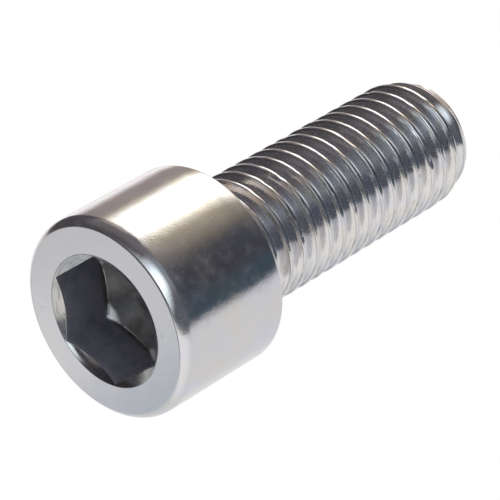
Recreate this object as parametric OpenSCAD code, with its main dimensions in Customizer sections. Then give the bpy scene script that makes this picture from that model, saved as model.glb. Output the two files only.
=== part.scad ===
// Hex socket head cap screw with a metric thread, forged and rolled from one piece of steel.
// It stands on its head: the origin is the centre of the head's flat face, and +Z runs to the tip.
// All sizes are in millimetres.

/* [Head] */
// Diameter of the cylindrical head
head_diameter = 18; // [17:0.1:24]
// Height of the head, from its flat face to its bearing face
head_height = 12; // [10.5:0.1:18]
// Radius of the rounding round the flat face
face_rounding = 1.1; // [0.6:0.05:1.3]
// Depth of that rounding that is faced off, which leaves a crisp edge round the flat face
face_cut = 0.1; // [0.02:0.02:0.3]
// Radius of the small round on the rim beside the bearing face
rim_rounding = 0.3; // [0.1:0.05:0.6]

/* [Socket] */
// Width of the hexagonal socket across its flats
socket_width = 10.1; // [8:0.1:10.6]
// Depth of the socket's six walls at their corners
socket_depth = 5; // [3.5:0.1:6]
// How far the countersink's rim stands outside the corners of the hexagon
countersink_margin = 0.12; // [0.02:0.02:0.4]
// Included angle of the countersink
countersink_angle = 120; // [90:5:140]
// Included angle of the conical ring between the walls and the flat middle of the floor
floor_angle = 120; // [110:5:160]
// Diameter of the flat middle of the floor
floor_flat = 6; // [4:0.1:7]

/* [Thread] */
// Nominal diameter of the thread
thread_diameter = 12; // [11:0.1:12.6]
// Taken off the nominal diameter, so that the thread turns freely in a nut
thread_allowance = 0.04; // [0:0.02:0.3]
// Distance from one crest to the next
thread_pitch = 1.75; // [1.25:0.25:2]
// Angle between the two flanks of a thread
thread_angle = 60; // [55:1:60]
// Length of the screw under its head
shank_length = 30; // [20:1:50]

/* [Neck] */
// Radius of the fillet between the bearing face and the neck
neck_fillet = 0.6; // [0.3:0.05:0.8]
// Length of the plain neck under the head, with the fillet
neck_length = 1; // [0.8:0.1:2.5]
// Length over which the thread rises from the neck to its full height
thread_fade = 1.2; // [1:0.1:4]

/* [Tip] */
// Length of the lead, where the crests get lower towards the tip
lead_length = 2.3; // [1.5:0.1:4]
// Diameter over the crests at the small end of the lead
lead_diameter = 10.45; // [10:0.05:10.8]
// Width of the 45 degree chamfer round the end face
tip_chamfer = 0.4; // [0.1:0.05:0.8]

/* [Hidden] */
$fn = 96;

// Flat facets in one turn of the thread, and turns of it hidden inside the head
turn_steps = 48;
buried_turns = 2;
// Overlap that joins one feature to the next
overlap = 0.5;
// Depth of the thread's first facets under the neck's surface
neck_cover = 0.02;

head_radius = head_diameter / 2;
total_length = head_height + shank_length;
lead_end = total_length - tip_chamfer;

// The hexagon's corners, and where the countersink starts on the flat face
corner_radius = socket_width / 2 / cos(30);
countersink_radius = corner_radius + countersink_margin;
countersink_depth = countersink_radius / tan(countersink_angle / 2);
floor_depth = socket_depth + (corner_radius - floor_flat / 2) / tan(floor_angle / 2);

// Basic form of the thread: a crest one eighth of the pitch wide, and a root one sixth of it wide
crest_radius = (thread_diameter - thread_allowance) / 2;
crest_width = thread_pitch / 8;
root_width = thread_pitch / 6;
flank_width = (thread_pitch - crest_width - root_width) / 2;
root_radius = crest_radius - flank_width / tan(thread_angle / 2);
// The blank is rolled from about the pitch diameter, which is what the plain neck keeps
neck_radius = (crest_radius + root_radius) / 2;

// One pitch of the thread, from the start of a root: heights above it, and radii
FORM_HEIGHTS = [0, root_width, root_width + flank_width, root_width + flank_width + crest_width];
FORM_RADII = [root_radius, root_radius, crest_radius, crest_radius];
form_points = len(FORM_HEIGHTS);

// The helix starts inside the head and runs out past the tip, where the end is cut off
helix_start = head_height - buried_turns * thread_pitch;
helix_turns = ceil((total_length - helix_start) / thread_pitch) + 1;
rows = helix_turns * form_points + 1;

// Height of a row of the helix at angle zero
function row_height(row) =
    helix_start + thread_pitch * floor(row / form_points) + FORM_HEIGHTS[row % form_points];

// How much of its full form the thread has at a height, from 0 at the neck to 1
function thread_share(z) =
    let (way = max(0, min(1, (z - head_height - neck_length) / thread_fade)))
    way * way * (3 - 2 * way);

// How much of its height the thread keeps in the lead, where the tapered blank has less steel for it
function lead_share(z) =
    let (way = max(0, min(1, (lead_end - z) / lead_length)))
    let (top_radius = lead_diameter / 2 + (crest_radius - lead_diameter / 2) * way)
    (top_radius - root_radius) / (crest_radius - root_radius);

// Radius of a row's point at a height
function row_radius(row, z) =
    let (plain = neck_radius - neck_cover)
    let (rolled = root_radius + (FORM_RADII[row % form_points] - root_radius) * lead_share(z))
    plain + (rolled - plain) * thread_share(z);

// A point of the helix: each step round lifts it by its share of one pitch, for a right-hand thread
function helix_point(row, step) =
    let (angle = 360 * step / turn_steps)
    let (z = row_height(row) + thread_pitch * step / turn_steps)
    let (r = row_radius(row, z))
    [r * cos(angle), r * sin(angle), z];

// Index of a point, where a whole turn leads to the same row one pitch up
function point_index(row, step) =
    step < turn_steps ? row * turn_steps + step : (row + form_points) * turn_steps + step - turn_steps;

// Profile of the head: a rectangle whose corners are cut back to arcs
module head_profile() {
    arc_x = head_radius - face_rounding;
    arc_z = face_rounding - face_cut;
    rim_x = head_radius - rim_rounding;
    rim_z = head_height - rim_rounding;
    difference() {
        square([head_radius, head_height]);
        difference() {
            translate([arc_x, -overlap]) square([face_rounding + overlap, arc_z + overlap]);
            translate([arc_x, arc_z]) circle(face_rounding);
        }
        difference() {
            translate([rim_x, rim_z]) square(rim_rounding + overlap);
            translate([rim_x, rim_z]) circle(rim_rounding);
        }
    }
}

// Profile of the plain neck, with its fillet against the bearing face
module neck_profile() {
    translate([0, head_height - overlap]) square([neck_radius, neck_length + overlap]);
    difference() {
        translate([0, head_height - overlap]) square([neck_radius + neck_fillet, neck_fillet + overlap]);
        translate([neck_radius + neck_fillet, head_height + neck_fillet]) circle(neck_fillet);
    }
}

// Head and neck, turned as one
module head_and_neck() {
    rotate_extrude() {
        head_profile();
        neck_profile();
    }
}

// Rod with the full thread, longer at both ends than the screw
module threaded_rod() {
    points = [for (row = [0:rows - 1], step = [0:turn_steps - 1]) helix_point(row, step)];
    low_centre = len(points);
    high_centre = low_centre + 1;
    top = rows - 1;
    // Two triangles for each step of each strip between two rows
    strips = [
        for (row = [0:top - 1], step = [0:turn_steps - 1])
            if (step < turn_steps - 1 || row + form_points < top)
                for (half = [0, 1])
                    half == 0
                    ? [point_index(row, step), point_index(row + 1, step), point_index(row + 1, step + 1)]
                    : [point_index(row, step), point_index(row + 1, step + 1), point_index(row, step + 1)]
    ];
    // The open ends, each closed by a fan of triangles from a point on the axis
    low_edge = concat(
        [for (step = [0:turn_steps]) point_index(0, step)],
        [for (row = [form_points - 1:-1:1]) point_index(row, 0)]
    );
    high_edge = concat(
        [for (step = [0:turn_steps - 1]) point_index(top, step)],
        [for (row = [top - 1:-1:top - form_points]) point_index(row, turn_steps - 1)]
    );
    low_cap = [
        for (i = [0:len(low_edge) - 1]) [low_centre, low_edge[i], low_edge[(i + 1) % len(low_edge)]]
    ];
    high_cap = [
        for (i = [0:len(high_edge) - 1]) [high_centre, high_edge[(i + 1) % len(high_edge)], high_edge[i]]
    ];
    polyhedron(
        points = concat(
            points,
            [[0, 0, helix_start + thread_pitch / 2], [0, 0, row_height(top) + thread_pitch / 2]]
        ),
        faces = concat(strips, low_cap, high_cap)
    );
}

// Envelope of the shank, which cuts the rod to length and gives its end the chamfer
module shank_envelope() {
    small_radius = lead_diameter / 2 - tip_chamfer;
    outside = crest_radius + overlap;
    rotate_extrude() polygon([
        [0, helix_start - thread_pitch],
        [outside, helix_start - thread_pitch],
        [outside, total_length - (outside - small_radius)],
        [small_radius, total_length],
        [0, total_length]
    ]);
}

// Thread, cut to the envelope
module thread() {
    intersection() {
        threaded_rod();
        shank_envelope();
    }
}

// Hexagonal socket with its countersink and its dished floor, as a solid to cut away
module socket() {
    translate([0, 0, -overlap]) linear_extrude(socket_depth + overlap) circle(corner_radius, $fn = 6);
    intersection() {
        translate([0, 0, socket_depth - overlap])
            linear_extrude(floor_depth) circle(corner_radius, $fn = 6);
        rotate_extrude() polygon([
            [0, socket_depth - overlap],
            [corner_radius + overlap, socket_depth - overlap],
            [corner_radius, socket_depth],
            [floor_flat / 2, floor_depth],
            [0, floor_depth]
        ]);
    }
    rotate_extrude() polygon([
        [0, -overlap],
        [countersink_radius + overlap * tan(countersink_angle / 2), -overlap],
        [0, countersink_depth]
    ]);
}

// The whole screw
module cap_screw() {
    color("silver") difference() {
        union() {
            head_and_neck();
            thread();
        }
        socket();
    }
}

cap_screw();
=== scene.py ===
# %% [markdown]
# # A hex socket cap screw in bright steel
#
# The screw is an M12 by 1.75 by 30. It is one piece of wire: a press forges the head and punches the
# socket, then two dies roll the thread. The CAD part already has its true sizes and its helix.
# This script builds the same screw with finer edges and roundings, gives it its steel, and stands a small
# photographer's studio round it. Bright steel has hardly a colour of its own, so what it reflects matters most.

# %% The frame and its box
import math

import bmesh
import bpy
from mathutils import Matrix, Vector, noise


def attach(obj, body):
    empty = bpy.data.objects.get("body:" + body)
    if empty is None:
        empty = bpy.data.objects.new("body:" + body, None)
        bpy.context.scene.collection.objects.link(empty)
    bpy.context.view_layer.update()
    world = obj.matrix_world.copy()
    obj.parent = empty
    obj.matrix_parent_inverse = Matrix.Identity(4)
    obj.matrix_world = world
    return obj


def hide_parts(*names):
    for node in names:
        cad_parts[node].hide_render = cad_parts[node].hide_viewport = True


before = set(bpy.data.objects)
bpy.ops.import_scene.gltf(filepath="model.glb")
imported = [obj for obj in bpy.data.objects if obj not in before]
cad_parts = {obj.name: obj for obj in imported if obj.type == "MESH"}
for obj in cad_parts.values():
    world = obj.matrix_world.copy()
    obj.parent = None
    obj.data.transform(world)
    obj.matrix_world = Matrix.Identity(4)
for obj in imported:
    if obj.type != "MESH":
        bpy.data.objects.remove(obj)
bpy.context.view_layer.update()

# %% [markdown]
# ## Sizes
#
# All lengths are in millimetres until the mesh is done, because that is how a screw is drawn.
# They are the values of the CAD source. Only the small roundings are added here.

# %% Sizes of the screw
MM = 0.001

HEAD_RADIUS = 9.0
HEAD_HEIGHT = 12.0
FACE_ROUNDING = 1.1
FACE_CUT = 0.1
RIM_ROUNDING = 0.3
SOFT_SHOULDER = 2.4
SHOULDER_DROP = 0.035

KEY_WIDTH = 10.1
SOCKET_DEPTH = 5.0
COUNTERSINK_MARGIN = 0.12
FLOOR_FLAT_RADIUS = 3.0
CONE_TANGENT = math.tan(math.radians(60))

PITCH = 1.75
CREST_RADIUS = 5.98
TOTAL_LENGTH = 42.0
NECK_FILLET = 0.6
NECK_LENGTH = 1.0
THREAD_FADE = 1.2
LEAD_LENGTH = 2.3
LEAD_RADIUS = 5.225
TIP_CHAMFER = 0.4

FLANK_TANGENT = math.tan(math.radians(30))
CREST_HALF = PITCH / 11
ROOT_HALF = PITCH / 12
ROOT_RADIUS = CREST_RADIUS - (PITCH / 2 - CREST_HALF - ROOT_HALF) / FLANK_TANGENT
NECK_RADIUS = (CREST_RADIUS + ROOT_RADIUS) / 2
CORNER_RADIUS = KEY_WIDTH / 2 / math.cos(math.radians(30))
COUNTERSINK_RADIUS = CORNER_RADIUS + COUNTERSINK_MARGIN
NECK_END = HEAD_HEIGHT + NECK_LENGTH

COLUMNS = 144
print("neck", round(NECK_RADIUS, 3), "root", round(ROOT_RADIUS, 3), "socket corner", round(CORNER_RADIUS, 3))

# %% [markdown]
# ## Drawing a half section
#
# A turned part is drawn as a half section and spun. Blender has no pen for a bmesh, but extruding a single
# vertex draws a straight line, and spinning a single vertex draws an arc. This class does both from the end
# of the line so far, so a section reads like the path of a cutting tool.


# %% A pen for half sections
class Section:
    """A line in the XZ plane, drawn by moving its last vertex."""

    def __init__(self, mesh, radius, height):
        self.mesh = mesh
        self.end = mesh.verts.new((radius, 0, height))

    def line(self, radius, height, steps=1):
        start = self.end.co.copy()
        goal = Vector((radius, 0, height))
        for step in range(1, steps + 1):
            self.end = bmesh.ops.extrude_vert_indiv(self.mesh, verts=[self.end])["verts"][0]
            self.end.co = start.lerp(goal, step / steps)

    def arc(self, radius, height, degrees, steps):
        """An arc round a centre. Positive degrees turn from +X towards +Z."""
        made = bmesh.ops.spin(
            self.mesh, geom=[self.end], cent=(radius, 0, height), axis=(0, -1, 0),
            angle=math.radians(degrees), steps=steps,
        )
        self.end = next(item for item in made["geom_last"] if isinstance(item, bmesh.types.BMVert))


def loose_line(mesh):
    """The edges of the mesh that carry no face yet, with their vertices."""
    edges = [edge for edge in mesh.edges if not edge.link_faces]
    return edges + list({vert for edge in edges for vert in edge.verts})


# %% [markdown]
# ## Head and socket as a round turning
#
# The section starts in the middle of the socket's floor, goes out to the wall, along the wall to the mouth,
# over the flat face, round the crisp edge, along the side of the head, and over the bearing face to the neck.
# For now the socket is round, with the radius of the hexagon's corners.

# %% Spin the head
head = bmesh.new()
floor_depth = SOCKET_DEPTH + (CORNER_RADIUS - FLOOR_FLAT_RADIUS) / CONE_TANGENT
mouth_depth = COUNTERSINK_MARGIN / CONE_TANGENT
face_run = math.sqrt(FACE_ROUNDING**2 - (FACE_ROUNDING - FACE_CUT) ** 2)
face_start = math.degrees(math.atan2(FACE_ROUNDING - FACE_CUT, face_run))

pen = Section(head, 0.6, floor_depth)
pen.line(FLOOR_FLAT_RADIUS, floor_depth, 3)
pen.line(CORNER_RADIUS, SOCKET_DEPTH, 10)
pen.line(CORNER_RADIUS, SOCKET_DEPTH - 1.4, 6)
pen.line(CORNER_RADIUS, mouth_depth, 6)
pen.line(COUNTERSINK_RADIUS, 0, 6)
pen.line(HEAD_RADIUS - FACE_ROUNDING + face_run, 0, 6)
pen.arc(HEAD_RADIUS - FACE_ROUNDING, FACE_ROUNDING - FACE_CUT, face_start, 10)
pen.line(HEAD_RADIUS, SOFT_SHOULDER, 7)
pen.line(HEAD_RADIUS, HEAD_HEIGHT - RIM_ROUNDING, 8)
pen.arc(HEAD_RADIUS - RIM_ROUNDING, HEAD_HEIGHT - RIM_ROUNDING, 90, 5)
pen.line(NECK_RADIUS + NECK_FILLET, HEAD_HEIGHT, 5)
pen.arc(NECK_RADIUS + NECK_FILLET, HEAD_HEIGHT + NECK_FILLET, -90, 6)
pen.line(NECK_RADIUS, NECK_END, 2)
bmesh.ops.spin(
    head, geom=loose_line(head), cent=(0, 0, 0), axis=(0, 0, 1), angle=math.tau, steps=COLUMNS, use_merge=True,
)
bmesh.ops.remove_doubles(head, verts=head.verts, dist=0.001)
bmesh.ops.holes_fill(head, edges=[e for e in head.edges if e.is_boundary and e.verts[0].co.z < 10], sides=0)
print("head turned:", len(head.verts), "vertices,", len(head.faces), "faces")

# %% [markdown]
# ## Squeezing the socket onto the key's shape
#
# The punch is a hexagon with a conical nose, and a countersink was cut or pressed first. Where the cone
# meets a flat it comes deeper, which makes the six curved scallops round the mouth. A boolean would leave thin
# slivers there. Instead each vertex keeps its column and slides inwards until it lies on the hexagon, and the
# mouth and the floor follow their cones. The columns already stand on the six corners, because 144 divides by 6.
# Keys have pressed the countersink a little uneven, most of all at one corner. The punch's own corners are
# worn, which leaves a small bright facet at the foot of each of the socket's six corners.
# Last, the head's rounding runs out softly into its side, as tumbling leaves it. It is a move of a few
# hundredths of a millimetre, but bright steel shows it.


# %% Slide the vertices
def hexagon_radius(angle):
    """Distance from the axis to the hexagon's side in the direction of an angle in radians."""
    sixth = math.radians(60)
    return KEY_WIDTH / 2 / math.cos(angle % sixth - sixth / 2)


def squeeze(vert):
    radius = math.hypot(vert.co.x, vert.co.y)
    if radius > COUNTERSINK_RADIUS - 0.001 or vert.co.z > floor_depth + 0.001 or radius < 0.01:
        return
    angle = math.atan2(vert.co.y, vert.co.x)
    side = hexagon_radius(angle)
    depth = vert.co.z
    top = (COUNTERSINK_RADIUS - side) / CONE_TANGENT
    bottom = SOCKET_DEPTH + (CORNER_RADIUS - side) / CONE_TANGENT
    if radius > CORNER_RADIUS + 0.001:
        share = (radius - CORNER_RADIUS) / COUNTERSINK_MARGIN
        radius = side + share * (COUNTERSINK_RADIUS - side)
        depth = (COUNTERSINK_RADIUS - radius) / CONE_TANGENT
    elif radius > CORNER_RADIUS - 0.001:
        share = (depth - mouth_depth) / (SOCKET_DEPTH - mouth_depth)
        radius = side
        depth = top + share * (bottom - top)
    elif radius > FLOOR_FLAT_RADIUS + 0.001:
        share = (radius - FLOOR_FLAT_RADIUS) / (CORNER_RADIUS - FLOOR_FLAT_RADIUS)
        radius = FLOOR_FLAT_RADIUS + share * (side - FLOOR_FLAT_RADIUS)
        depth = SOCKET_DEPTH + (CORNER_RADIUS - radius) / CONE_TANGENT
    vert.co = Vector((radius * math.cos(angle), radius * math.sin(angle), depth))


def smooth(x):
    """0 below 0, 1 above 1, and a soft step between them."""
    x = max(0.0, min(1.0, x))
    return x * x * (3 - 2 * x)


def on_countersink(co):
    wall = hexagon_radius(math.atan2(co.y, co.x))
    return wall + 0.02 < co.xy.length < COUNTERSINK_RADIUS - 0.02 and co.z < 1


def chewed(co):
    """How far the key has pressed the countersink in at a point, which is most at one corner."""
    round_rim = (math.degrees(math.atan2(co.y, co.x)) - 166) / 18
    inwards = COUNTERSINK_RADIUS - co.xy.length
    lip = 0.34 * min(inwards, 0.25) * (1 - smooth((inwards - 0.25) / 0.35)) * math.exp(-round_rim * round_rim)
    return lip + 0.015 * noise.noise(co * 1.7)


def near_corner(co):
    """Place of a point beside the nearest of the six corners at the socket's foot: outwards, sideways, deeper."""
    sixth = math.radians(60)
    angle = (math.atan2(co.y, co.x) + sixth / 2) % sixth - sixth / 2
    radius = co.xy.length
    return Vector((radius * math.cos(angle) - CORNER_RADIUS, radius * math.sin(angle), co.z - SOCKET_DEPTH))


def wear_corner(vert):
    """Bring a vertex back to the small facet that the punch's worn corner leaves."""
    place = near_corner(vert.co)
    beyond = place.x * 0.7 + place.z * 0.714 + WORN_CORNER
    if place.length < 2 and beyond > 0:
        outwards = Vector((math.cos(corner_angle(vert.co)), math.sin(corner_angle(vert.co)), 0)) * 0.7
        vert.co -= (outwards + Vector((0, 0, 0.714))) * beyond


def corner_angle(co):
    """Compass angle of the nearest corner."""
    return round(math.atan2(co.y, co.x) / math.radians(60)) * math.radians(60)


WORN_CORNER = 0.17
for vert in head.verts:
    squeeze(vert)
for vert in head.verts:
    if on_countersink(vert.co):
        vert.co.z += chewed(vert.co)
    elif vert.co.xy.length < CORNER_RADIUS + 0.01 and vert.co.z > 4:
        wear_corner(vert)
worn = [v for v in head.verts if near_corner(v.co).length < 1.5 and v.co.xy.length < CORNER_RADIUS + 0.01]
bmesh.ops.smooth_vert(head, verts=worn, factor=0.4, use_axis_x=True, use_axis_y=True, use_axis_z=True)
for vert in head.verts:
    if vert.co.xy.length > COUNTERSINK_RADIUS + 0.1 and 0.001 < vert.co.z < SOFT_SHOULDER:
        share = 1 - (1 - vert.co.z / SOFT_SHOULDER) ** 2
        vert.co.xy *= 1 - (1 - share) * SHOULDER_DROP / HEAD_RADIUS
print("across the flats:", round(2 * min(v.co.xy.length for v in head.verts if 1 < v.co.z < 5), 3))

# %% [markdown]
# ## Breaking the edges
#
# No edge of a real screw is perfectly sharp. A thin bright line along an edge is the light in its tiny
# rounding. The bevel operator makes it. The punch leaves a rounding along the socket's foot and corners, and
# it drags up a thin burr along the scallops at the mouth, which gets a finish of its own. The crisp edge of
# the flat face is only just broken.


# %% Bevel the socket and the face
def rim_edges(mesh, test):
    return [edge for edge in mesh.edges if all(test(vert.co) for vert in edge.verts)]


def on_wall(co):
    return abs(co.xy.length - hexagon_radius(math.atan2(co.y, co.x))) < 0.002


def on_mouth(co):
    return on_wall(co) and abs(co.z - (COUNTERSINK_RADIUS - co.xy.length) / CONE_TANGENT) < 0.004


def on_foot(co):
    return on_wall(co) and abs(co.z - SOCKET_DEPTH - (CORNER_RADIUS - co.xy.length) / CONE_TANGENT) < 0.004


def on_corner(co):
    return abs(co.xy.length - CORNER_RADIUS) < 0.002 and 0.05 < co.z < SOCKET_DEPTH + 0.01


def break_edges(mesh, edges, width, segments, finish):
    made = bmesh.ops.bevel(
        mesh, geom=edges, offset=width, offset_type="OFFSET", segments=segments, profile=0.5,
        affect="EDGES", clamp_overlap=True, material=-1,
    )
    for face in made["faces"]:
        face.material_index = FINISHES.index(finish)


FINISHES = ["head", "face", "mouth", "socket", "foot", "burr", "bearing", "thread", "tip"]
mouth = rim_edges(head, on_mouth)
break_edges(head, mouth, 0.06, 2, "burr")
corners = [e for e in rim_edges(head, on_corner) if near_corner(e.verts[0].co).length > 1.1]
break_edges(head, corners, 0.08, 2, "socket")
inside = [e for e in rim_edges(head, on_foot) if near_corner(e.verts[0].co).length > 1.1]
break_edges(head, inside, 0.07, 2, "foot")
print("edges broken in the socket:", len(mouth), "at the mouth,", len(corners), "at corners,", len(inside), "at the foot")

face_edge = rim_edges(head, lambda co: abs(co.z) < 1e-4 and co.xy.length > 8.3)
countersink_edge = rim_edges(head, lambda co: abs(co.z) < 1e-4 and co.xy.length < COUNTERSINK_RADIUS + 1e-3)
break_edges(head, face_edge, 0.13, 3, "head")
break_edges(head, countersink_edge, 0.05, 2, "socket")
print("head with its edges broken:", len(head.faces), "faces")

# %% [markdown]
# ## One pitch of the thread
#
# A rolled metric thread has flanks at 60 degrees to each other, a narrow crest with rounded shoulders and a
# round root. One pitch of that form is drawn here, from root to root. The rows on the flanks let the thread
# fade at the neck and shrink in the lead without kinks, and the narrow row beside each shoulder keeps the
# flanks flat in their shading.

# %% Draw the form
thread = bmesh.new()
ROOT_ROUND = 0.27
SHOULDER_ROUND = 0.07
valley = CREST_RADIUS - (PITCH / 2 - CREST_HALF) / FLANK_TANGENT
root_centre = valley + 2 * ROOT_ROUND
tangent = SHOULDER_ROUND * FLANK_TANGENT
shoulder_x = CREST_HALF + tangent / 2
shoulder_r = CREST_RADIUS - tangent * math.cos(math.radians(30))
root_x = PITCH / 2 - ROOT_ROUND * math.cos(math.radians(30))
root_r = root_centre - ROOT_ROUND / 2

# The CAD thread has the middle of a root at this height, in the direction of +X
ROOT_START = HEAD_HEIGHT - 2 * PITCH + ROOT_HALF
first_root = ROOT_START + PITCH * math.floor((NECK_END - PITCH - ROOT_START) / PITCH)

pen = Section(thread, root_centre - ROOT_ROUND, first_root)
pen.arc(root_centre, first_root, -60, 2)
pen.line(shoulder_r - 0.07, first_root + PITCH / 2 - shoulder_x - 0.07 * FLANK_TANGENT, 3)
pen.line(shoulder_r, first_root + PITCH / 2 - shoulder_x)
pen.arc(CREST_RADIUS - SHOULDER_ROUND, first_root + PITCH / 2 - CREST_HALF + tangent, 60, 2)
pen.line(CREST_RADIUS, first_root + PITCH / 2 + CREST_HALF - tangent, 2)
pen.arc(CREST_RADIUS - SHOULDER_ROUND, first_root + PITCH / 2 + CREST_HALF - tangent, 60, 2)
pen.line(shoulder_r - 0.07, first_root + PITCH / 2 + shoulder_x + 0.07 * FLANK_TANGENT)
pen.line(root_r, first_root + PITCH / 2 + root_x, 3)
pen.arc(root_centre, first_root + PITCH, -60, 2)
form_rows = len(thread.verts) - 1
turns = math.ceil((TOTAL_LENGTH - first_root) / PITCH) + 1
print("rows in one pitch:", form_rows, "turns:", turns, "root radius", round(root_centre - ROOT_ROUND, 3))

# %% [markdown]
# ## Rolling the thread
#
# The spin carries the form once round the axis and lifts it by one pitch on the way. That is one turn, and
# copies of it, each a pitch higher, give all the others much faster than a spin of many turns would.
# The end of each turn lies on the start of the next, so merging doubles closes them to one surface.

# %% Spin the helix
bmesh.ops.spin(
    thread, geom=loose_line(thread), cent=(0, 0, 0), axis=(0, 0, 1), dvec=(0, 0, PITCH / COLUMNS),
    angle=math.tau, steps=COLUMNS,
)
one_turn = list(thread.verts) + list(thread.edges) + list(thread.faces)
for turn in range(1, turns):
    copy = bmesh.ops.duplicate(thread, geom=one_turn)["geom"]
    copied = [item for item in copy if isinstance(item, bmesh.types.BMVert)]
    bmesh.ops.translate(thread, vec=(0, 0, PITCH * turn), verts=copied)
bmesh.ops.remove_doubles(thread, verts=thread.verts, dist=0.002)
print("thread rolled:", len(thread.verts), "vertices,", round(max(v.co.z for v in thread.verts), 2), "mm high")

# %% [markdown]
# ## Neck, lead and tip
#
# The blank's neck is as thick as the middle of the thread, and the crests rise from it over a short way.
# At the tip the blank is tapered, so there is less steel for the crests and they come out lower.
# Both are a share of the thread's height that changes along the axis, so a function of the height moves
# each vertex in or out. Screws rattle in a barrel and a box, so their crests carry small dents, which break
# the bright line along each crest into pieces. Two cuts with a plane make the chamfer's start and the end face.


# %% Shape the ends of the thread
def lead_radius(z):
    """Largest radius that the tapered lead leaves at a height."""
    lead_end = TOTAL_LENGTH - TIP_CHAMFER
    slope = (CREST_RADIUS - LEAD_RADIUS) / LEAD_LENGTH
    return max(LEAD_RADIUS, min(CREST_RADIUS, LEAD_RADIUS + (lead_end - z) * slope))


def shape_end(vert):
    r, z = vert.co.xy.length, vert.co.z
    low = root_centre - ROOT_ROUND
    r = low + (r - low) * (lead_radius(z) - low) / (CREST_RADIUS - low)
    z = NECK_END if z < NECK_END + 0.04 else z
    r = NECK_RADIUS + (r - NECK_RADIUS) * smooth((z - NECK_END) / THREAD_FADE)
    across = Vector((vert.co.x, vert.co.y)).normalized() * r
    vert.co = Vector((across.x, across.y, z))


def knock(vert):
    """Dents in the crests: noise decides where, and a crest is never knocked outwards."""
    height = (vert.co.xy.length - root_centre + ROOT_ROUND) / (CREST_RADIUS - root_centre + ROOT_ROUND)
    dent = max(0.0, noise.noise(vert.co * 1.1) - 0.28) * 0.16 + max(0.0, noise.noise(vert.co * 3.1)) * 0.03
    vert.co.xy *= 1 - dent * smooth((height - 0.88) / 0.12) / CREST_RADIUS


for vert in thread.verts:
    shape_end(vert)
    knock(vert)
bmesh.ops.remove_doubles(thread, verts=thread.verts, dist=0.004)


def cut(mesh, height, away):
    parts = list(mesh.verts) + list(mesh.edges) + list(mesh.faces)
    bmesh.ops.bisect_plane(
        mesh, geom=parts, dist=0.0005, plane_co=(0, 0, height), plane_no=(0, 0, 1), clear_outer=away,
    )


cut(thread, TOTAL_LENGTH - TIP_CHAMFER, False)
cut(thread, TOTAL_LENGTH, True)
for vert in thread.verts:
    limit = LEAD_RADIUS + min(0.0, TOTAL_LENGTH - TIP_CHAMFER - vert.co.z)
    if vert.co.z > TOTAL_LENGTH - TIP_CHAMFER - 1e-4 and vert.co.xy.length > limit:
        vert.co.xy = vert.co.xy.normalized() * limit
print("thread cut to length:", len(thread.verts), "vertices, top", round(max(v.co.z for v in thread.verts), 3))

# %% [markdown]
# ## The end face
#
# The wire was sheared and then pressed flat, which leaves a slightly sunken middle inside a small rim.

# %% Close the tip
end_ring = [e for e in thread.edges if e.is_boundary and all(v.co.z > TOTAL_LENGTH - 1e-3 for v in e.verts)]
for radius, depth in ((4.5, 0.0), (4.2, 0.1), (2.6, 0.14), (1.0, 0.15)):
    grown = bmesh.ops.extrude_edge_only(thread, edges=end_ring)["geom"]
    end_ring = [item for item in grown if isinstance(item, bmesh.types.BMEdge)]
    for vert in (item for item in grown if isinstance(item, bmesh.types.BMVert)):
        vert.co.xy = vert.co.xy.normalized() * radius
        vert.co.z = TOTAL_LENGTH - depth
bmesh.ops.holes_fill(thread, edges=end_ring, sides=0)
print("end face closed, its rings have", len(end_ring), "corners")

# %% [markdown]
# ## One mesh
#
# The real screw has no seam between head and shank, so both meshes become one and their neck rings are merged.
# The normals are worked out again after that, because a spin can turn them inwards.

# %% Join head and thread
joined = bpy.data.meshes.new("thread_part")
thread.to_mesh(joined)
thread.free()
head.from_mesh(joined)
bpy.data.meshes.remove(joined)
bmesh.ops.remove_doubles(head, verts=[v for v in head.verts if abs(v.co.z - NECK_END) < 0.01], dist=0.02)
bmesh.ops.dissolve_degenerate(head, edges=head.edges, dist=0.0005)
bmesh.ops.recalc_face_normals(head, faces=head.faces)
open_edges = sum(not edge.is_manifold for edge in head.edges)
print("open or doubled edges:", open_edges, "volume in mm3:", round(head.calc_volume(signed=True), 1))

# %% Name the surfaces


def finish_of(centre, normal):
    if centre.z > TOTAL_LENGTH - 0.3 and normal.z > 0.5:
        return "tip"
    if centre.z > NECK_END - 0.7 and centre.xy.length < 6.1:
        return "thread"
    if centre.z < 0.001 and centre.xy.length > COUNTERSINK_RADIUS:
        return "face"
    if abs(centre.z - HEAD_HEIGHT) < 0.05 and normal.z > 0.7:
        return "bearing"
    if centre.xy.length < COUNTERSINK_RADIUS and centre.z < floor_depth + 0.1:
        wall = hexagon_radius(math.atan2(centre.y, centre.x))
        return "mouth" if centre.z < 1 and centre.xy.length > wall + 0.01 else "socket"
    return "head"


for face in head.faces:
    if face.material_index == 0:
        face.material_index = FINISHES.index(finish_of(face.calc_center_median(), face.normal))
    face.smooth = True
print("faces per finish:", {n: sum(f.material_index == i for f in head.faces) for i, n in enumerate(FINISHES)})
for edge in head.edges:
    beside = {face.material_index for face in edge.link_faces}
    if edge.calc_face_angle() > math.radians(38) or len(beside) == 2 and FINISHES.index("face") in beside:
        edge.smooth = False
bmesh.ops.scale(head, vec=(MM, MM, MM), verts=head.verts)
screw_mesh = bpy.data.meshes.new("screw")
head.to_mesh(screw_mesh)
head.free()
screw = bpy.data.objects.new("screw", screw_mesh)
bpy.context.scene.collection.objects.link(screw)
weights = screw.modifiers.new("flat_faces_stay_flat", "WEIGHTED_NORMAL")
weights.keep_sharp = True
weights.weight = 50
triangles = sum(len(p.vertices) - 2 for p in screw_mesh.polygons)
print("triangles:", triangles)

# %% [markdown]
# ## Shader maths
#
# Node trees are easier to read as sums. A Value stands for one socket, and adding or multiplying values adds
# the Math nodes. Every other node goes through one method that takes its settings and its inputs.


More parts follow.
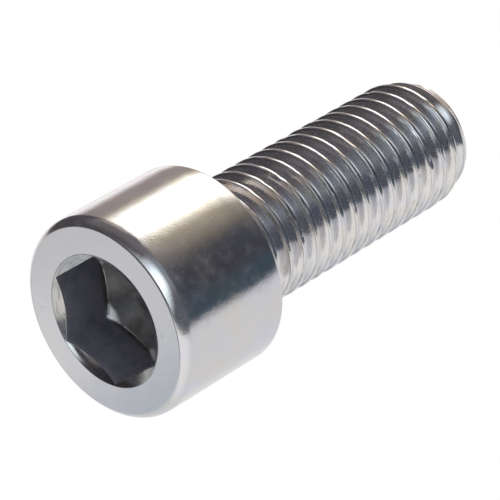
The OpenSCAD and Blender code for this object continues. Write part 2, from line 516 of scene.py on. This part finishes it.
# %% Values and nodes
class Value:
    """A socket that can be used in a sum."""

    def __init__(self, nodes, socket):
        self.nodes = nodes
        self.socket = socket

    def maths(self, operation, *others, flip=False):
        terms = [*others, self] if flip else [self, *others]
        made = self.nodes.add("ShaderNodeMath", {"operation": operation}, dict(enumerate(terms)))
        return Value(self.nodes, made.outputs[0])

    def __add__(self, other):
        return self.maths("ADD", other)

    def __sub__(self, other):
        return self.maths("SUBTRACT", other)

    def __mul__(self, other):
        return self.maths("MULTIPLY", other)

    def __rsub__(self, other):
        return self.maths("SUBTRACT", other, flip=True)

    __radd__ = __add__
    __rmul__ = __mul__


class Nodes:
    """A node tree, emptied, with one method that adds any node."""

    def __init__(self, tree):
        self.tree = tree
        tree.nodes.clear()

    def add(self, kind, settings=None, inputs=None):
        made = self.tree.nodes.new(kind)
        for name, setting in (settings or {}).items():
            setattr(made, name, setting)
        for name, given in (inputs or {}).items():
            if isinstance(given, Value):
                self.tree.links.new(given.socket, made.inputs[name])
            else:
                made.inputs[name].default_value = given
        return made

    def value(self, kind, settings=None, inputs=None, output=0):
        return Value(self, self.add(kind, settings, inputs).outputs[output])

    def mix(self, below, above, mask):
        """Colour above painted over colour below where the mask is 1."""
        settings = {"data_type": "RGBA", "clamp_factor": True}
        return self.value("ShaderNodeMix", settings, {0: mask, 6: below, 7: above}, output=2)


def tone(red, green, blue):
    """A colour as it shows on screen, 0 to 255, turned into the linear light that Blender reckons with."""
    def linear(level):
        level /= 255
        return level / 12.92 if level <= 0.04045 else ((level + 0.055) / 1.055) ** 2.4
    return (linear(red), linear(green), linear(blue), 1.0)


print("white is", tone(255, 255, 255))

# %% [markdown]
# ## Steel
#
# The metal is the same all over, but its skin is not, and bright steel is read from its skin. It is never quite
# flat: slow waves bend the edges of the reflections, a fine grain blurs them, and handling leaves small dents
# that catch the light. All three are heights in millimetres, added up for one Bump node. The roughness varies
# in patches, because oil and rubbing don't reach every place alike, and the oil also makes the steel a little
# less of a mirror there.

# %% Steel with waves, grain and dents
STEEL = (0.78, 0.78, 0.8, 1.0)
STEP = {"interpolation_type": "SMOOTHSTEP"}


def grain_of(nodes, place, size, detail=2.0):
    """Noise from 0 to 1, with features of a size in mm."""
    return nodes.value("ShaderNodeTexNoise", inputs={"Vector": place, "Scale": 1 / (size * MM), "Detail": detail})


def ramp(nodes, value, low, high):
    """0 below low and 1 above high, with a soft step between them."""
    return nodes.value("ShaderNodeMapRange", STEP, {0: value, 1: low, 2: high})


def dents_of(nodes, place, apart):
    """1 in the middle of sparse small dents, a distance in mm apart."""
    cells = nodes.add("ShaderNodeTexVoronoi", inputs={"Vector": place, "Scale": 1 / (apart * MM)})
    pick = nodes.value("ShaderNodeSeparateColor", inputs={0: Value(nodes, cells.outputs["Color"])})
    hollow = ramp(nodes, Value(nodes, cells.outputs["Distance"]), 0.0, 0.15)
    return (1 - hollow) * pick.maths("GREATER_THAN", 0.5)


def steel(name, roughness, spread, waves, grain, dents, colour=STEEL, worn=None, metal=1.0):
    """Bright steel. Roughness varies by spread. Grain is a depth and a size, dents a depth and a distance, in mm."""
    material = bpy.data.materials.new("steel_" + name)
    material.use_nodes = True
    nodes = Nodes(material.node_tree)
    place = nodes.value("ShaderNodeTexCoord", output=3)
    height = grain_of(nodes, place, 2.2, 1.0) * waves + grain_of(nodes, place, grain[1]) * grain[0]
    height = height - dents_of(nodes, place, dents[1]) * dents[0]
    patches = grain_of(nodes, place, 1.4, 4.0)
    soft = patches * spread + (roughness - spread / 2)
    if worn:
        colour, soft, height = worn(nodes, place, patches, colour, soft, height)
        metal = metal - ramp(nodes, patches, 0.42, 0.72) * 0.025
    relief = nodes.value("ShaderNodeBump", inputs={"Height": height, "Strength": 1.0, "Distance": MM})
    shader = nodes.value(
        "ShaderNodeBsdfPrincipled",
        inputs={"Base Color": colour, "Metallic": metal, "Roughness": soft, "Normal": relief},
    )
    nodes.add("ShaderNodeOutputMaterial", inputs={"Surface": shader})
    return material


# %% [markdown]
# ## What handling leaves on the head
#
# A new screw is bright but not new glass. Rubbed spots scatter the light, so they look paler where the steel
# mirrors something dark and darker where it mirrors something pale. Short scratches run mostly along the
# screw, and a thin film of oil tints the steel a little warmer here and bluer there.

# %% Rubbed spots, scratches and a film of oil
WARM = (0.83, 0.78, 0.64, 1.0)
COOL = (0.7, 0.73, 0.92, 1.0)


def tumbled(nodes, place, patches, colour, soft, height):
    film = ramp(nodes, grain_of(nodes, place, 3.4, 2.0), 0.36, 0.64)
    colour = nodes.mix(nodes.mix(WARM, COOL, film), colour, 0.78)
    clouds = ramp(nodes, grain_of(nodes, place, 0.9, 4.0), 0.45, 0.75)
    specks = ramp(nodes, grain_of(nodes, place, 0.28, 1.0), 0.74, 0.84)
    drawn = nodes.value("ShaderNodeMapping", inputs={"Vector": place, "Rotation": (0.2, 0.1, 0), "Scale": (1, 1, 0.07)})
    scratch = ramp(nodes, grain_of(nodes, drawn, 0.2, 1.0), 0.64, 0.76)
    return colour, soft + clouds * 0.09 + specks * 0.25 + scratch * 0.08, height - scratch * 0.001


# %% [markdown]
# ## Oil and painted shade in the socket
#
# The socket is the one dark place. The punch leaves it dull, and the oil that protects the screw collects in
# it, and its colour is darkened further with painted shade of the recess, most on its floor. So it is only
# partly mirror: dark and warm on the floor, and a dark blue grey on the walls. The foot of its corners is where
# the punch pressed hardest, so the small facets there keep a paler steel colour without the painted shade.
# Folding the compass angle into one sixth of a turn finds all six corners at once.

# %% Oil, painted shade and paler corners
DULL = (0.16, 0.16, 0.18, 1.0)


def oil_and_recess_shade(nodes, place, patches, colour, soft, height):
    x, y, z = (Value(nodes, out) for out in nodes.add("ShaderNodeSeparateXYZ", inputs={0: place}).outputs)
    # Painted shade: the socket's floor is painted darker than its walls, partly oil
    floor_oil_and_shade = ramp(nodes, z, 4.7 * MM, 5.15 * MM)
    mottled = ramp(nodes, patches, 0.4, 0.7)
    colour = nodes.mix(colour, (0.15, 0.152, 0.2, 1.0), mottled)
    colour = nodes.mix(colour, nodes.mix((0.1, 0.098, 0.1, 1.0), (0.17, 0.165, 0.17, 1.0), mottled), floor_oil_and_shade)
    sixth = ((y.maths("ARCTAN2", x) * (6 / math.tau) + 0.5).maths("FRACT") - 0.5) * (math.tau / 6)
    outwards = (x * x + y * y).maths("SQRT") * sixth.maths("COSINE") - CORNER_RADIUS * MM
    facet = outwards * 0.7 + (z - SOCKET_DEPTH * MM) * 0.714 + WORN_CORNER * MM
    # The worn facets at the corners' foot keep a paler colour, without the painted shade
    bare = ramp(nodes, facet + (patches - 0.5) * (0.14 * MM), -0.1 * MM, 0.01 * MM)
    return nodes.mix(colour, (0.54, 0.54, 0.56, 1.0), bare), soft, height


# %% [markdown]
# ## Torn steel at the mouth, and painted shade on one side
#
# Cutting and pressing leave the countersink streaked round the axis, and the edge towards the walls torn:
# bright in some places, dull in others. Noise that is squeezed outwards and drawn out round the axis gives
# such streaks. On the side towards the room's pale table the mouth's colour is also painted darker, a painted shade.

# %% Streaks round the axis, and a painted shade on one side
def torn(nodes, place, patches, colour, soft, height):
    x, y, z = (Value(nodes, out) for out in nodes.add("ShaderNodeSeparateXYZ", inputs={0: place}).outputs)
    out = (x * x + y * y).maths("SQRT")
    drawn = nodes.value("ShaderNodeCombineXYZ", inputs={0: out * 5500, 1: x * 900, 2: y * 900})
    streaks = nodes.value("ShaderNodeTexNoise", inputs={"Vector": drawn, "Scale": 1.0, "Detail": 3.0})
    colour = nodes.mix(colour, DULL, ramp(nodes, streaks + (patches - 0.5) * 0.5, 0.46, 0.74) * 0.5)
    # Painted shade: the side of the mouth towards the room's table is painted darker
    painted_side_shade = ramp(nodes, y * 0.77 - x * 0.64 + (patches - 0.5) * MM, 4.75 * MM, 5.35 * MM)
    colour = nodes.mix(colour, DULL, painted_side_shade * 0.8)
    return colour, soft, height + streaks * 0.01


# %% [markdown]
# ## What rolling leaves on the thread, and painted shade in its roots
#
# The dies drag the steel along the helix, so every mark on the thread follows it. For that the shader needs to
# know where on the profile a point lies. Height and compass angle give it: going once round lifts the thread by
# one pitch, so height over pitch minus the angle in turns says how far along the profile it is. Its fraction
# is 0 in the root and 0.5 on the crest. The roots are painted darker, partly oil and dark scale and partly
# painted shade of the groove. The crest keeps the plain steel colour, and thin dark lines run beside it along a
# small fold groove, darkened with painted shade.

# %% Marks along the helix, with painted shade in the roots and beside the crests
# Rolling marks in the colour, plus painted shade: darker roots and dark lines beside each crest
def rolled(nodes, place, patches, colour, soft, height):
    x, y, z = (Value(nodes, out) for out in nodes.add("ShaderNodeSeparateXYZ", inputs={0: place}).outputs)
    turn = y.maths("ARCTAN2", x) * (1 / math.tau)
    phase = ((z - ROOT_START * MM) * (1 / (PITCH * MM)) - turn).maths("FRACT")
    from_crest = (phase - 0.5).maths("ABSOLUTE")
    drawn = nodes.value("ShaderNodeCombineXYZ", inputs={0: phase * 17, 1: x * 380, 2: y * 380})
    lines = nodes.value("ShaderNodeTexNoise", inputs={"Vector": drawn, "Scale": 1.0, "Detail": 3.0})
    # Root mask: it darkens the roots, partly oil and scale and partly painted shade of the groove
    deep = ramp(nodes, from_crest + (patches - 0.5) * 0.1, 0.3, 0.47)
    # Thin line beside each crest: a small fold groove in the bump, darkened with painted shade
    fold_groove_and_shade = 1 - ramp(nodes, (from_crest - 0.138).maths("ABSOLUTE"), 0.006, 0.026)
    drag = ramp(nodes, lines + (patches - 0.5) * 0.4, 0.52, 0.7)
    # Painted shade in the roots and along the fold lines, plus real drag streaks, as one darkening
    dirt_and_painted_shade = deep * (0.12 + 0.4 * lines) + fold_groove_and_shade * patches * 0.7 + drag * 0.32
    film = ramp(nodes, grain_of(nodes, place, 1.8, 3.0), 0.4, 0.6)
    colour = nodes.mix(nodes.mix(WARM, COOL, film), colour, 0.84)
    colour = nodes.mix(colour, (0.2, 0.2, 0.2, 1.0), dirt_and_painted_shade)
    spots = ramp(nodes, grain_of(nodes, place, 0.16, 3.0), 0.5, 0.8)
    return colour, soft + deep * 0.1 + spots * 0.22, height + lines * 0.003 - fold_groove_and_shade * 0.003


# %% The finishes
# The socket, mouth, foot, burr and thread finishes also carry painted shade in their colour, besides their real marks
WORN = {
    "head": steel("head", 0.13, 0.1, 0.014, (0.0045, 0.2), (0.005, 2.4), worn=tumbled),
    "face": steel("face", 0.1, 0.06, 0.005, (0.0012, 0.3), (0.003, 3.0)),
    "mouth": steel("mouth", 0.2, 0.14, 0.012, (0.008, 0.5), (0.01, 0.9), (0.58, 0.58, 0.57, 1.0), torn),
    # The socket's dark colour is partly dull oily steel and partly painted shade of the recess
    "socket": steel("socket", 0.3, 0.2, 0.02, (0.01, 0.5), (0.02, 1.6), (0.21, 0.215, 0.26, 1.0), oil_and_recess_shade, 0.5),
    "foot": steel("foot", 0.35, 0.2, 0.02, (0.01, 0.4), (0.01, 1.0), (0.48, 0.48, 0.48, 1.0), torn),
    "burr": steel("burr", 0.4, 0.3, 0.02, (0.02, 0.3), (0.01, 1.0), (0.6, 0.6, 0.6, 1.0), torn),
    "bearing": steel("bearing", 0.3, 0.16, 0.01, (0.004, 0.3), (0.005, 1.5), (0.62, 0.59, 0.56, 1.0)),
    "thread": steel("thread", 0.12, 0.1, 0.01, (0.003, 0.13), (0.007, 0.6), worn=rolled),
    "tip": steel("tip", 0.3, 0.16, 0.02, (0.01, 0.4), (0.02, 1.2)),
}
for finish in FINISHES:
    screw_mesh.materials.append(WORN[finish])
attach(screw, "root")
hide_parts("cap_screw")
print("materials:", [m.name for m in screw_mesh.materials])

# %% [markdown]
# ## The studio that the steel reflects
#
# A chrome-like part is photographed between white and dark cards on a pale table, and its picture is mostly
# those cards. They are painted on the world here, by compass direction and height above the horizon, with
# soft edges. The camera sees plain white behind the screw, and the floor is lit by the same white.


# %% Directions in the room
world = bpy.data.worlds.new("studio")
bpy.context.scene.world = world
world.use_nodes = True
room = Nodes(world.node_tree)
direction = room.value("ShaderNodeTexCoord", output=0)
parts = room.add("ShaderNodeSeparateXYZ", inputs={0: direction})
east, north, up = (Value(room, output) for output in parts.outputs)
compass = north.maths("ARCTAN2", east) * math.degrees(1)
height = up.maths("ARCSINE") * math.degrees(1)


def past(value, edge, soft):
    """0 below the edge and 1 above it, with a soft step as wide as twice soft."""
    settings = {"interpolation_type": "SMOOTHSTEP"}
    return room.value("ShaderNodeMapRange", settings, {0: value, 1: edge - soft, 2: edge + soft})


def card(left, right, low, high, soft=4, soft_low=4):
    """Mask of a card between two compass directions and two heights."""
    wide = past(compass, left, soft) * (1 - past(compass, right, soft))
    tall = past(height, low, soft_low) * (1 - past(height, high, soft_low))
    return wide * tall


def shown(red, green, blue):
    """The light that the steel has to reflect to show this tone."""
    return tuple(level / share for level, share in zip(tone(red, green, blue)[:3], STEEL)) + (1.0,)


# %% Paint the cards
# Above the softbox's lower edge: pale, then mauve, on the left, a falling cream in the middle, the dark card right
above = room.mix(shown(160, 149, 134), shown(56, 57, 64), past(compass, -31, 24))
above = room.mix(above, shown(142, 131, 129), 1 - past(compass, -112, 8))
above = room.mix(above, shown(246, 240, 240), 1 - past(compass, -145, 10))
slanted = 1 - past(compass + (40.2 - height) * 4.5, -46, 7)
above = room.mix(above, (1.5, 1.38, 1.15, 1.0), card(-105, -51, 35.5, 56, 8, 4) * slanted)
above = room.mix(above, (2.2, 2.2, 2.12, 1.0), card(-100, -60, 37, 54, 5, 3) * slanted)
above = room.mix(above, shown(228, 206, 200), card(-128, -44, 54, 68, 8, 5))
above = room.mix(above, shown(54, 53, 62), card(0, 90, 10, 90, 12, 10))
above = room.mix(above, shown(52, 65, 76), card(22, 90, 10, 60, 10, 10))
# Below it: dark mauve that gets darker towards the floor, with a pale haze under the softbox
below = room.mix(shown(64, 61, 65), shown(95, 90, 94), past(height, -32, 26) * past(compass, -106, 8))
below = room.mix(below, shown(98, 94, 98), card(-108, -40, -90, -54, 14, 8))
below = room.mix(below, shown(150, 142, 138), card(-98, -66, 14, 60, 7, 10))
below = room.mix(below, shown(122, 126, 134), card(-30, 8, -20, 34, 12, 10))
below = room.mix(below, shown(74, 78, 88), card(8, 90, -90, 40, 12, 12))
light = room.mix(below, above, past(height, 34, 5))

# The pale table fills the other half of the room. Swing is the angle from its middle, so it doesn't jump
table = east * -0.637 + north * 0.774
along = east * 0.774 + north * 0.637
swing = (0 - along).maths("ARCTAN2", table) * math.degrees(1)
low = room.mix(shown(219, 216, 215), shown(198, 197, 200), past(height, -6, 30))
low = room.mix(low, shown(208, 207, 208), past(swing, 14, 12) * past(height, 20, 16))
low = room.mix(low, shown(180, 183, 189), past(swing, -2, 16) * (1 - past(height, -2, 18)))
low = room.mix(low, shown(180, 178, 182), (1 - past(swing, -76, 8)) * past(height, 0, 20))
low = room.mix(low, shown(166, 171, 180), past(swing, 40, 5) * (1 - past(height, -20, 10)))
low = room.mix(low, shown(208, 206, 207), past(swing, 47.4, 0.8))
low = room.mix(low, shown(190, 190, 193), past(swing, 47.4, 0.8) * (1 - past(height, -37.2, 0.7)))
low = room.mix(low, shown(184, 183, 187), past(swing, 50.2, 0.9))
low = room.mix(low, shown(236, 230, 230), past(swing, 62, 6) * (1 - past(swing, 82, 8)) * past(height, 10, 20))
low = room.mix(low, shown(80, 80, 88), past(swing, 26, 10) * (1 - past(height, -51, 5)))
light = room.mix(light, low, past(table + up * 0.07, 0.16, 0.06))
backdrop = room.value("ShaderNodeBackground", inputs={"Color": (1.0, 1.0, 1.0, 1.0), "Strength": 1.0})
reflected = room.value("ShaderNodeBackground", inputs={"Color": light, "Strength": 1.0})
ray = room.value("ShaderNodeLightPath", output=3)
sky = room.value("ShaderNodeMixShader", inputs={0: ray, 1: backdrop, 2: reflected})
room.add("ShaderNodeOutputWorld", inputs={"Surface": sky})
print("room painted with", len(world.node_tree.nodes), "nodes")

# %% [markdown]
# ## A white reflector near the head
#
# The small bright patch on the head's rounding is a reflector that stands close to it. From the thread it
# lies much lower, so there it only shows in the shoulders of the crests. A painted room can't do that, because
# its cards are endlessly far away. So this one is a real sheet that only reflections can see. It fades out
# upwards and to its sides, and ends more sharply at its foot.

# %% Stand the reflector
shield = bmesh.new()
bmesh.ops.create_grid(shield, x_segments=1, y_segments=1, size=1.0)
bmesh.ops.scale(shield, vec=(100 * MM, 230 * MM, MM), verts=shield.verts)
shield_mesh = bpy.data.meshes.new("reflector")
shield.to_mesh(shield_mesh)
shield.free()
reflector = bpy.data.objects.new("reflector", shield_mesh)
bpy.context.scene.collection.objects.link(reflector)
towards = Vector((math.cos(math.radians(49)), 0, -math.sin(math.radians(49))))
towards.rotate(Matrix.Rotation(math.radians(-11), 3, "Z"))
reflector.matrix_world = Matrix.LocRotScale(
    Vector((HEAD_RADIUS * MM, 0, 0)) + towards * 0.15, (-towards).to_track_quat("Z", "Y"), None,
)
for name in ("camera", "diffuse", "transmission", "shadow", "volume_scatter"):
    setattr(reflector, "visible_" + name, False)
glow = bpy.data.materials.new("white_reflector")
glow.use_nodes = True
nodes = Nodes(glow.node_tree)
local = nodes.value("ShaderNodeTexCoord", output=3)
across, along_it, flat = (Value(nodes, out) for out in nodes.add("ShaderNodeSeparateXYZ", inputs={0: local}).outputs)
wide = 1 - ramp(nodes, across.maths("ABSOLUTE"), 2 * MM, 78 * MM)
tall = ramp(nodes, along_it, -112 * MM, -84 * MM) * (1 - ramp(nodes, along_it, 5 * MM, 205 * MM))
bright = nodes.value("ShaderNodeEmission", inputs={"Color": (0.88, 0.97, 1.0, 1.0), "Strength": 1.6})
clear = nodes.value("ShaderNodeBsdfTransparent")
both = nodes.value("ShaderNodeMixShader", inputs={0: wide * tall, 1: clear, 2: bright})
nodes.add("ShaderNodeOutputMaterial", inputs={"Surface": both})
shield_mesh.materials.append(glow)
print("reflector at", [round(x * 1000, 1) for x in reflector.location], "mm")

# %% [markdown]
# ## A flag between the thread and the reflector
#
# The flanks of the thread that face the head would mirror the reflector's lower end as bright streaks. Where
# a lamp or reflector shows in the wrong place, a photographer stands a small dark card in between, which is
# called a flag. This one lies level with the head's bearing face, begins at its rim and can only be seen from
# above, so the thread meets it and the head doesn't.

# %% Lay the flag
small = bmesh.new()
bmesh.ops.create_grid(small, x_segments=1, y_segments=1, size=1.0)
bmesh.ops.scale(small, vec=(10 * MM, 9 * MM, MM), verts=small.verts)
bmesh.ops.translate(small, vec=(9 * MM, -2 * MM, 0), verts=small.verts)
flag_mesh = bpy.data.meshes.new("flag")
small.to_mesh(flag_mesh)
small.free()
flag = bpy.data.objects.new("flag", flag_mesh)
bpy.context.scene.collection.objects.link(flag)
flag.location = (0, 0, (HEAD_HEIGHT + 0.05) * MM)
for name in ("camera", "diffuse", "transmission", "shadow", "volume_scatter"):
    setattr(flag, "visible_" + name, False)
dark = bpy.data.materials.new("dark_flag")
dark.use_nodes = True
nodes = Nodes(dark.node_tree)
local = nodes.value("ShaderNodeTexCoord", output=3)
outwards = nodes.value("ShaderNodeVectorMath", {"operation": "LENGTH"}, {0: local}, output=1)
sideways = nodes.value("ShaderNodeSeparateXYZ", inputs={0: local}, output=1)
ring = ramp(nodes, outwards, 9 * MM, 9.2 * MM) * (1 - ramp(nodes, outwards, 11.5 * MM, 18 * MM))
solid = ring * ramp(nodes, sideways, -10 * MM, -7 * MM) * (1 - ramp(nodes, sideways, 2 * MM, 6 * MM))
above_it = 1 - nodes.value("ShaderNodeNewGeometry", output=6)
dim = nodes.value("ShaderNodeEmission", inputs={"Color": tone(98, 98, 104), "Strength": 1.0})
clear = nodes.value("ShaderNodeBsdfTransparent")
both = nodes.value("ShaderNodeMixShader", inputs={0: solid * above_it, 1: clear, 2: dim})
nodes.add("ShaderNodeOutputMaterial", inputs={"Surface": both})
flag_mesh.materials.append(dark)
print("flag at", [round(x * 1000, 2) for x in flag.location], "mm")

# %% [markdown]
# ## Floor
#
# The screw stands on its head on a pale floor. The main picture looks up at the socket from below that floor,
# so only its upper side shows. It fades out before the horizon, and the steel doesn't mirror it, because
# the painted room already holds the table.

# %% Lay the floor
ground = bmesh.new()
bmesh.ops.create_grid(ground, x_segments=1, y_segments=1, size=0.6)
bmesh.ops.translate(ground, vec=(0, 0, -0.00002), verts=ground.verts)
floor_mesh = bpy.data.meshes.new("floor")
ground.to_mesh(floor_mesh)
ground.free()
floor = bpy.data.objects.new("floor", floor_mesh)
bpy.context.scene.collection.objects.link(floor)
for name in ("diffuse", "glossy", "shadow"):
    setattr(floor, "visible_" + name, False)
paint = bpy.data.materials.new("pale_floor")
paint.use_nodes = True
nodes = Nodes(paint.node_tree)
away = nodes.value("ShaderNodeVectorMath", {"operation": "LENGTH"}, {0: nodes.value("ShaderNodeTexCoord", output=3)}, output=1)
near = 1 - nodes.value("ShaderNodeMapRange", {"interpolation_type": "SMOOTHSTEP"}, {0: away, 1: 0.03, 2: 0.3})
front = 1 - nodes.value("ShaderNodeNewGeometry", output=6)
pale = nodes.value("ShaderNodeBsdfDiffuse", inputs={"Color": (0.9, 0.9, 0.9, 1.0)})
clear = nodes.value("ShaderNodeBsdfTransparent")
both = nodes.value("ShaderNodeMixShader", inputs={0: near * front, 1: clear, 2: pale})
nodes.add("ShaderNodeOutputMaterial", inputs={"Surface": both})
floor_mesh.materials.append(paint)
print("floor laid")

# %% [markdown]
# ## Camera
#
# The camera was fitted to the photograph's outlines: a long lens looks up at the socket from below, a little
# to one side, and is rolled so that the shank rises to the upper right.

# %% Place the camera
AZIMUTH, ELEVATION, ROLL = math.radians(-2.10), math.radians(-40.38), math.radians(-59.51)
DISTANCE = 0.2520
TARGET = Vector((0.000037, 0.001014, 0.0173))

lens = bpy.data.cameras.new("camera")
lens.sensor_width = 36.0
lens.lens = 213.14
camera = bpy.data.objects.new("camera", lens)
bpy.context.scene.collection.objects.link(camera)
bpy.context.scene.camera = camera
back = Vector((
    math.cos(AZIMUTH) * math.cos(ELEVATION), math.sin(AZIMUTH) * math.cos(ELEVATION), math.sin(ELEVATION),
))
upright = (Vector((0, 0, 1)) - back * back.z).normalized()
right = (-back).cross(upright)
turned_up = upright * math.cos(ROLL) + right * math.sin(ROLL)
turned_right = (-back).cross(turned_up)
axes = Matrix((turned_right, turned_up, back)).transposed()
camera.matrix_world = Matrix.LocRotScale(TARGET + back * DISTANCE, axes.to_quaternion(), None)
lens.clip_start, lens.clip_end = 0.01, 10.0
bpy.context.scene.view_settings.view_transform = "Standard"
print("camera at", [round(x * 1000, 1) for x in camera.location], "mm")
